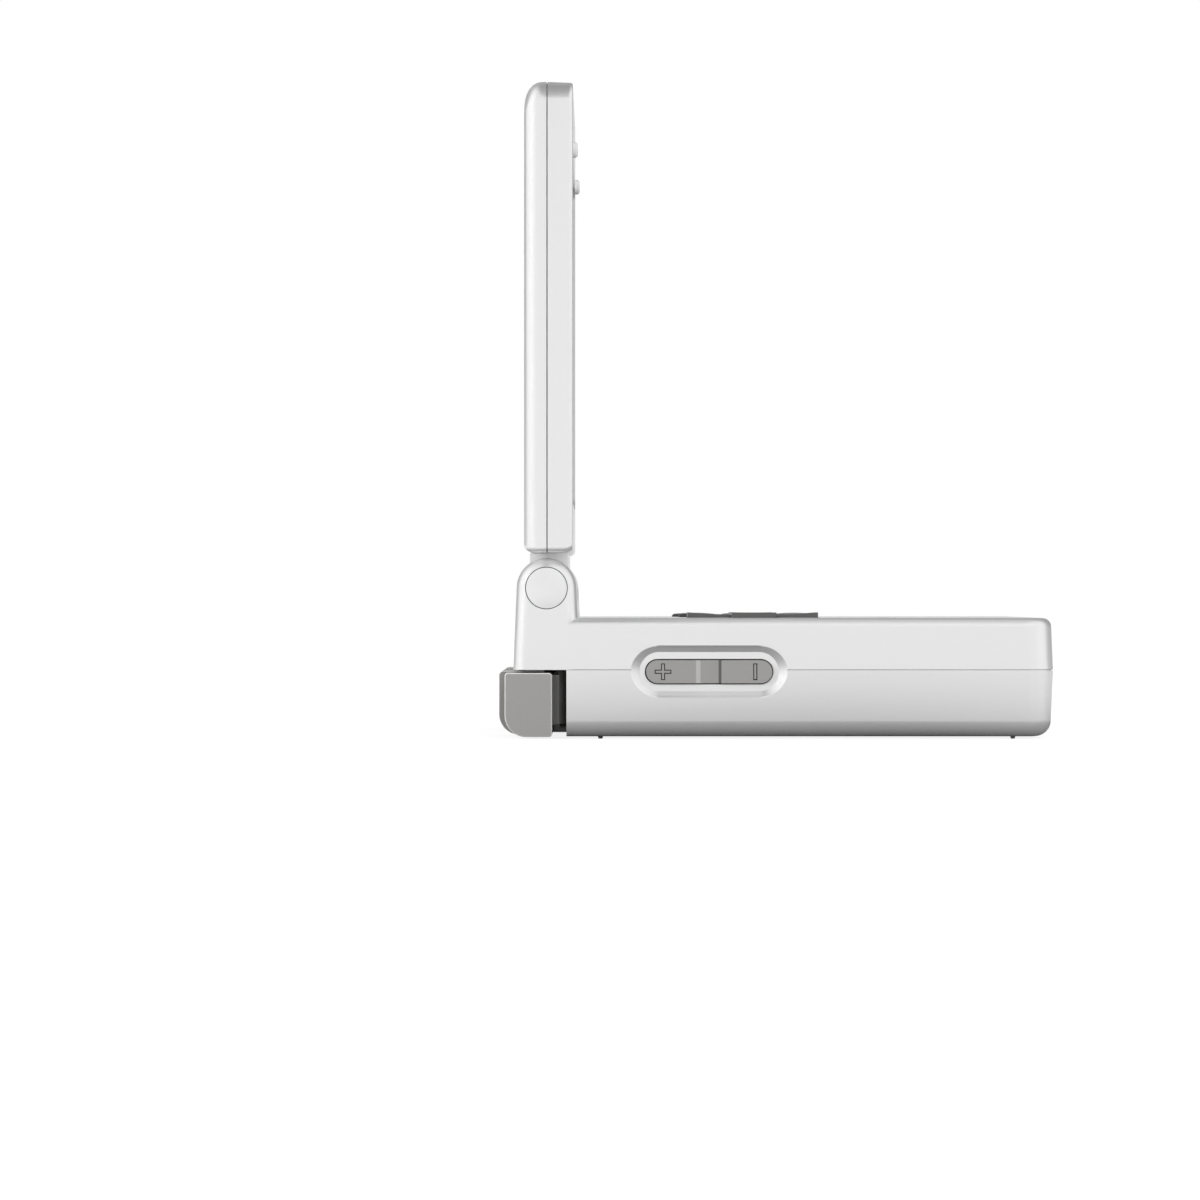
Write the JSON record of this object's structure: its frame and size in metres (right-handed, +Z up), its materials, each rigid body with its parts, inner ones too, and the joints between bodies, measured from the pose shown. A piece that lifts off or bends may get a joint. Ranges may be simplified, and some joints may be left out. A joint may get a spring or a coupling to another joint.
{
  "type": "clamshell handheld game console",
  "caption": "Clamshell handheld game console with hinged screen lid, direction pad, face buttons, volume rocker and shoulder buttons.",
  "frame": {"origin": "under the middle of the console, on the surface it stands on", "axes": "+Z up along the open lid, -Y to the player, +X to the player's right"},
  "size_m": [0.085, 0.0894, 0.1054],
  "materials": {
    "shell": "satin silver-white",
    "bumper": "matt white",
    "control_grey": "satin mid grey",
    "button_dark": "semi-gloss dark grey",
    "screen_lens": "polished black lens",
    "display": "dark display",
    "steel": "plain",
    "rubber": "matt",
    "inner_plastic": "matt black",
    "board": "solder mask",
    "flex": "polyimide film"
  },
  "bodies": {
    "base": {"base_upper_shell": "shell", "base_lower_shell": "shell", "hinge_cap_left": "shell", "hinge_cap_right": "shell", "case_screws": "steel", "hinge_shaft": "steel", "usb_c_socket": "steel", "mini_hdmi_socket": "steel", "card_readers": "steel", "shoulder_pin_left": "steel", "shoulder_pin_right": "steel", "button_membrane": "rubber", "menu_membrane": "rubber", "battery": "inner_plastic", "speakers": "inner_plastic", "headphone_socket": "inner_plastic", "volume_switches": "inner_plastic", "side_switches": "inner_plastic", "shoulder_switches": "inner_plastic", "main_board": "board", "display_cable_base": "flex"},
    "lid": {"lid_rear_cover": "shell", "lid_front_frame": "shell", "screen_lens": "screen_lens", "lcd_panel": "display", "lid_bumpers": "bumper", "lid_screws": "steel", "display_cable_lid": "flex", "hinge_friction_unit": "steel", "hinge_cable_sleeve": "steel"},
    "dpad_rubber": {"dpad_rubber": "rubber"},
    "dpad_pivot": {"dpad_pivot": "inner_plastic"},
    "dpad": {"dpad": "button_dark"},
    "button_north": {"button_north": "button_dark"},
    "button_south": {"button_south": "button_dark"},
    "button_east": {"button_east": "button_dark"},
    "button_west": {"button_west": "button_dark"},
    "start_button": {"start_button": "button_dark"},
    "select_button": {"select_button": "button_dark"},
    "menu_button": {"menu_button": "button_dark"},
    "volume_rocker": {"volume_rocker": "control_grey"},
    "power_button": {"power_button": "control_grey"},
    "reset_button": {"reset_button": "control_grey"},
    "shoulder_l1": {"shoulder_l1": "control_grey"},
    "shoulder_l2": {"shoulder_l2": "control_grey"},
    "shoulder_r1": {"shoulder_r1": "control_grey"},
    "shoulder_r2": {"shoulder_r2": "control_grey"}
  },
  "joints": [
    {"name": "lid_hinge", "type": "hinge", "parent": "base", "child": "lid", "pos_m": [0, 0.03678, 0.0242], "axis": [-1, 0, 0], "range_deg": [-89.8, 72]},
    {"name": "dpad_press", "type": "slide", "parent": "base", "child": "dpad_rubber", "axis": [0, 0, 1], "range_m": [-0.0005, 0], "stiffness_N_per_m": 200},
    {"name": "dpad_tilt_x", "type": "hinge", "parent": "dpad_rubber", "child": "dpad_pivot", "pos_m": [-0.026, 0.00337, 0.0156], "axis": [1, 0, 0], "range_deg": [-2, 2], "stiffness_Nm_per_rad": 0.02},
    {"name": "dpad_tilt_y", "type": "hinge", "parent": "dpad_pivot", "child": "dpad", "pos_m": [-0.026, 0.00337, 0.0156], "axis": [0, 1, 0], "range_deg": [-2, 2], "stiffness_Nm_per_rad": 0.02},
    {"name": "button_north_press", "type": "slide", "parent": "base", "child": "button_north", "axis": [0, 0, 1], "range_m": [-0.0007, 0], "stiffness_N_per_m": 120},
    {"name": "button_south_press", "type": "slide", "parent": "base", "child": "button_south", "axis": [0, 0, 1], "range_m": [-0.0007, 0], "stiffness_N_per_m": 120},
    {"name": "button_east_press", "type": "slide", "parent": "base", "child": "button_east", "axis": [0, 0, 1], "range_m": [-0.0007, 0], "stiffness_N_per_m": 120},
    {"name": "button_west_press", "type": "slide", "parent": "base", "child": "button_west", "axis": [0, 0, 1], "range_m": [-0.0007, 0], "stiffness_N_per_m": 120},
    {"name": "menu_button_press", "type": "slide", "parent": "base", "child": "menu_button", "axis": [0, 0, 1], "range_m": [-0.0007, 0], "stiffness_N_per_m": 120},
    {"name": "start_button_press", "type": "slide", "parent": "base", "child": "start_button", "axis": [0, 0, 1], "range_m": [-0.0006, 0], "stiffness_N_per_m": 120},
    {"name": "select_button_press", "type": "slide", "parent": "base", "child": "select_button", "axis": [0, 0, 1], "range_m": [-0.0006, 0], "stiffness_N_per_m": 120},
    {"name": "volume_tilt", "type": "hinge", "parent": "base", "child": "volume_rocker", "pos_m": [-0.04, 0.01073, 0.0108], "axis": [0, 0, 1], "range_deg": [-2.5, 2.5], "stiffness_Nm_per_rad": 0.02},
    {"name": "power_button_press", "type": "slide", "parent": "base", "child": "power_button", "axis": [1, 0, 0], "range_m": [-0.0004, 0], "stiffness_N_per_m": 120},
    {"name": "reset_button_press", "type": "slide", "parent": "base", "child": "reset_button", "axis": [1, 0, 0], "range_m": [-0.0004, 0], "stiffness_N_per_m": 120},
    {"name": "shoulder_l1_pivot", "type": "hinge", "parent": "base", "child": "shoulder_l1", "pos_m": [-0.028, 0.03873, 0.009], "axis": [1, 0, 0], "range_deg": [-7, 0], "stiffness_Nm_per_rad": 0.03},
    {"name": "shoulder_l2_pivot", "type": "hinge", "parent": "base", "child": "shoulder_l2", "pos_m": [-0.028, 0.03873, 0.009], "axis": [1, 0, 0], "range_deg": [-7, 0], "stiffness_Nm_per_rad": 0.03},
    {"name": "shoulder_r1_pivot", "type": "hinge", "parent": "base", "child": "shoulder_r1", "pos_m": [0.028, 0.03873, 0.009], "axis": [1, 0, 0], "range_deg": [-7, 0], "stiffness_Nm_per_rad": 0.03},
    {"name": "shoulder_r2_pivot", "type": "hinge", "parent": "base", "child": "shoulder_r2", "pos_m": [0.028, 0.03873, 0.009], "axis": [1, 0, 0], "range_deg": [-7, 0], "stiffness_Nm_per_rad": 0.03}
  ]
}
